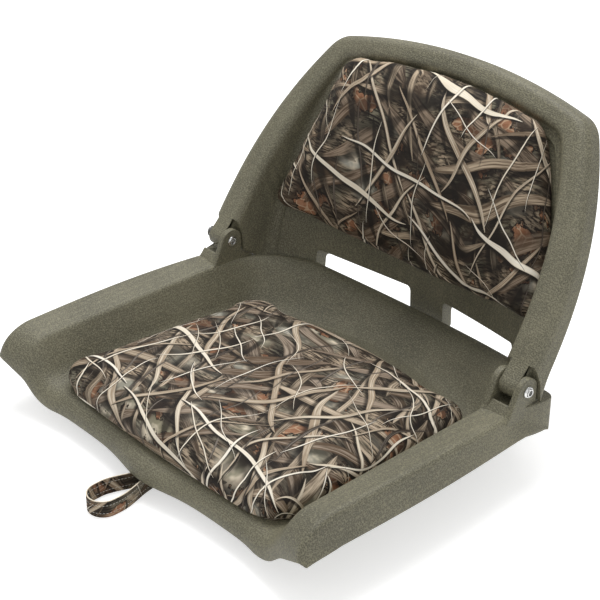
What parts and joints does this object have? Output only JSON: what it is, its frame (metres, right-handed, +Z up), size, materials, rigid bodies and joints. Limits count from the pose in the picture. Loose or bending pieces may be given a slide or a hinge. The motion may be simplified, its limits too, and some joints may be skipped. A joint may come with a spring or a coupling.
{
  "type": "folding boat seat",
  "caption": "Fold-down boat seat: moulded seat shell with arms, folding dished back, padded camouflage-style cushions and a webbing hold-down strap.",
  "frame": {"origin": "middle of the seat's footprint, on the plane that it stands on", "axes": "+Z up, +Y towards the back, +X along the hinge axis to the sitter's left"},
  "size_m": [0.4908, 0.5138, 0.341],
  "materials": {
    "olive_plastic": "fine grained moulded plastic",
    "printed_fabric": "coated fabric with a reed and leaf print",
    "foam": "open foam",
    "board": "plain sheet",
    "stainless_steel": "bright",
    "nylon": "plain",
    "brass": "turned",
    "webbing": "woven webbing with stitch lines"
  },
  "bodies": {
    "seat": {"seat_shell": "olive_plastic", "seat_pad_cover": "printed_fabric", "seat_pad_foam": "foam", "seat_pad_board": "board", "seat_pad_screw_1": "stainless_steel", "seat_pad_screw_2": "stainless_steel", "seat_pad_screw_3": "stainless_steel", "seat_pad_screw_4": "stainless_steel", "hinge_pin_left": "stainless_steel", "hinge_pin_right": "stainless_steel", "hinge_retainer_left": "stainless_steel", "hinge_retainer_right": "stainless_steel", "mount_insert_1": "brass", "mount_insert_2": "brass", "mount_insert_3": "brass", "mount_insert_4": "brass", "hold_down_strap": "webbing", "strap_bolt": "stainless_steel", "strap_washer": "stainless_steel", "strap_nut": "stainless_steel"},
    "back": {"back_shell": "olive_plastic", "back_pad_cover": "printed_fabric", "back_pad_foam": "foam", "back_pad_board": "board", "back_pad_screw_1": "stainless_steel", "back_pad_screw_2": "stainless_steel", "back_pad_screw_3": "stainless_steel", "back_pad_screw_4": "stainless_steel", "hinge_sleeve_left": "nylon", "hinge_sleeve_right": "nylon"}
  },
  "joints": [
    {"name": "back_fold", "type": "hinge", "parent": "seat", "child": "back", "pos_m": [0, 0.08692, 0.106], "axis": [1, 0, 0], "range_deg": [0, 124.5]}
  ]
}
